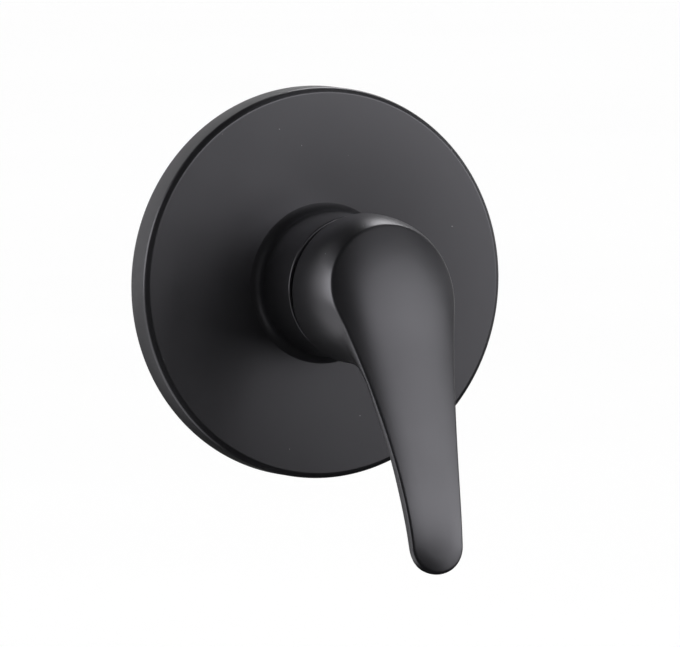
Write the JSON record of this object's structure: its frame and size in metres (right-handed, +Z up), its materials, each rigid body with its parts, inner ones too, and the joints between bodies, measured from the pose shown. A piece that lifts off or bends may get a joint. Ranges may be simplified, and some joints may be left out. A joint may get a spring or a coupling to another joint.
{
  "type": "single-lever mixer",
  "caption": "Concealed single-lever shower mixer in matte black: round cover plate, sleeve and curved lever on a brass in-wall valve with a ceramic cartridge.",
  "frame": {"origin": "the mixer's axis at the finished wall face, which is the back of the cover plate", "axes": "+Z up, +Y into the wall along the mixer's axis, +X to the right for someone facing the wall; the lever stands on the -Y side"},
  "size_m": [0.13, 0.144, 0.1559],
  "materials": {
    "black_trim": "matte black coating",
    "brass": "as cast and turned",
    "housing_plastic": "moulded",
    "grey_plastic": "moulded",
    "stop_plastic": "moulded",
    "ceramic": "lapped",
    "rubber": "moulded",
    "foam": "closed-cell foam",
    "steel": "ground",
    "plug_plastic": "moulded"
  },
  "bodies": {
    "valve": {"cover_plate": "black_trim", "plate_seal": "foam", "plate_oring": "rubber", "sleeve": "black_trim", "valve_body": "brass", "hot_socket": "brass", "cold_socket": "brass", "outlet_socket": "brass", "cartridge_base": "grey_plastic", "port_seals": "rubber", "disc_seals": "rubber", "fixed_disc": "ceramic", "cartridge_housing": "housing_plastic", "stop_ring": "stop_plastic", "retaining_nut": "brass"},
    "turret": {"rotor": "grey_plastic", "rotor_seal": "rubber", "pivot_pin": "steel"},
    "handle": {"lever": "black_trim", "spindle": "brass", "grub_screw": "steel", "index_plug": "plug_plastic"},
    "slider": {"moving_disc": "ceramic", "disc_carrier": "grey_plastic"}
  },
  "joints": [
    {"name": "temperature_turn", "type": "hinge", "parent": "valve", "child": "turret", "pos_m": [0, -0.02, 0], "axis": [0, -1, 0], "range_deg": [-45, 45]},
    {"name": "lever_lift", "type": "hinge", "parent": "turret", "child": "handle", "pos_m": [0, -0.02, 0], "axis": [-1, 0, 0], "range_deg": [0, 25]},
    {"name": "disc_slide", "type": "slide", "parent": "turret", "child": "slider", "axis": [0, 0, 1], "range_m": [-0.0047, 0]}
  ],
  "couplings": [
    {"joint": "disc_slide", "follows": "lever_lift", "m_per_rad": -0.010516}
  ]
}
